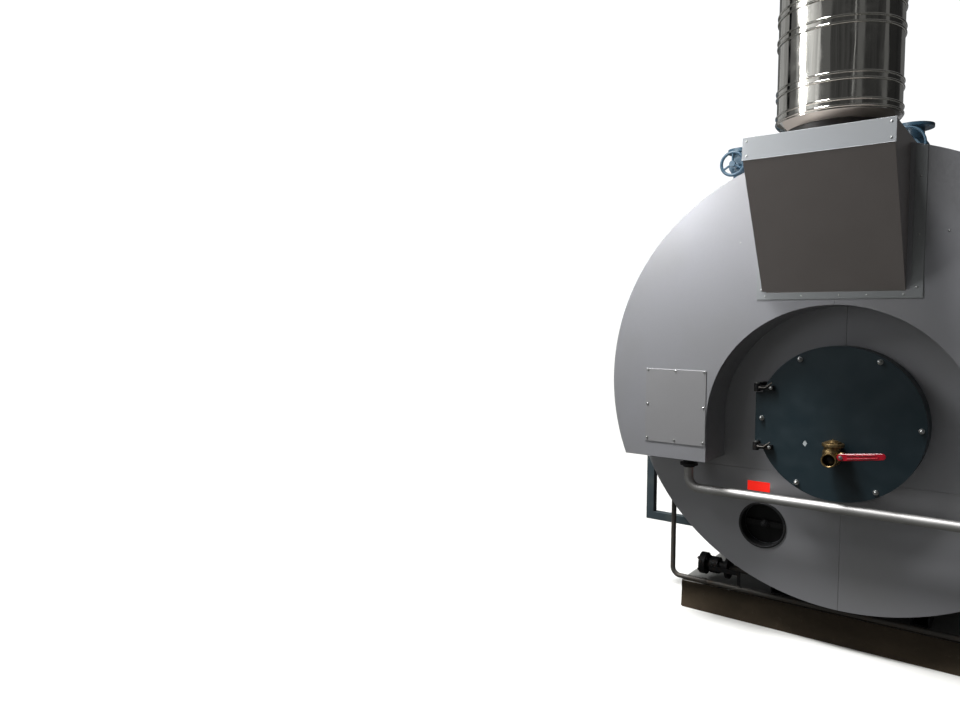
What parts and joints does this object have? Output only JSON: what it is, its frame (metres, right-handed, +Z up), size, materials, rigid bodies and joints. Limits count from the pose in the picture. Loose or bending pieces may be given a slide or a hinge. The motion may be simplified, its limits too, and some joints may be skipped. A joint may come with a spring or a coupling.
{
  "type": "industrial fire-tube steam boiler",
  "caption": "Horizontal three-pass fire-tube boiler on a plinth, with a horseshoe flue-gas collector, a hinged furnace door and a hooded flue.",
  "frame": {"origin": "centre of the plinth's underside, on the floor", "axes": "+Z up; +Y along the drum, away from the flue-outlet end; +X to the right of that end"},
  "size_m": [2.268, 4.774, 3.089],
  "materials": {
    "concrete": "rough",
    "base_steel": "satin",
    "boiler_plate": "matte",
    "cladding_sheet": "satin",
    "liner_steel": "matte",
    "polished_stainless": "polished",
    "satin_stainless": "satin",
    "door_paint": "satin",
    "refractory": "matte",
    "black_steel": "satin",
    "zinc": "satin",
    "brass": "satin",
    "lever_paint": "gloss",
    "port_steel": "satin",
    "drain_tube": "matte",
    "frame_paint": "satin",
    "valve_paint": "satin"
  },
  "bodies": {
    "root": {"plinth": "concrete", "base_frame": "base_steel", "drum_shell": "boiler_plate", "tube_sheets": "boiler_plate", "furnace_tube": "boiler_plate", "reversing_chamber": "boiler_plate", "cladding": "cladding_sheet", "end_panel_upper_left": "cladding_sheet", "end_panel_upper_right": "cladding_sheet", "end_panel_lower_left": "cladding_sheet", "end_panel_lower_right": "cladding_sheet", "collector_box": "boiler_plate", "collector_jacket_left": "cladding_sheet", "collector_jacket_right": "cladding_sheet", "collector_front_left": "cladding_sheet", "collector_front_right": "cladding_sheet", "cleaning_covers": "cladding_sheet", "hood_body": "cladding_sheet", "hood_fascia": "cladding_sheet", "hood_flange": "cladding_sheet", "flue_liner": "liner_steel", "flue_cone": "polished_stainless", "flue_jacket": "polished_stainless", "flue_bands": "polished_stainless", "door_collar": "door_paint", "hinge_brackets": "black_steel", "hinge_pins": "zinc", "crossing_pipe": "satin_stainless", "pipe_sockets": "black_steel", "inspection_port": "port_steel", "handhole_cover": "port_steel", "drain_pipe": "drain_tube", "blowdown_valve": "black_steel", "blowdown_pipe": "drain_tube", "side_frame": "frame_paint", "crown_nozzles": "boiler_plate", "crown_valves": "valve_paint", "manhole": "boiler_plate", "lifting_lugs": "boiler_plate", "turning_box": "cladding_sheet", "turning_doors": "cladding_sheet", "burner_end_panel": "cladding_sheet", "burner_plate": "door_paint"},
    "door": {"door_plate": "door_paint", "door_plug": "refractory", "door_hinge_eyes": "black_steel", "valve_body": "brass"},
    "lever": {"valve_lever": "lever_paint"}
  },
  "joints": [
    {"name": "door_swing", "type": "hinge", "parent": "root", "child": "door", "pos_m": [-0.365, -2.092, 1.152], "axis": [0, 0, -1], "range_deg": [0, 105]},
    {"name": "valve_turn", "type": "hinge", "parent": "door", "child": "lever", "pos_m": [0.043, -2.184, 1.015], "axis": [0, 1, 0], "range_deg": [0, 90]}
  ]
}
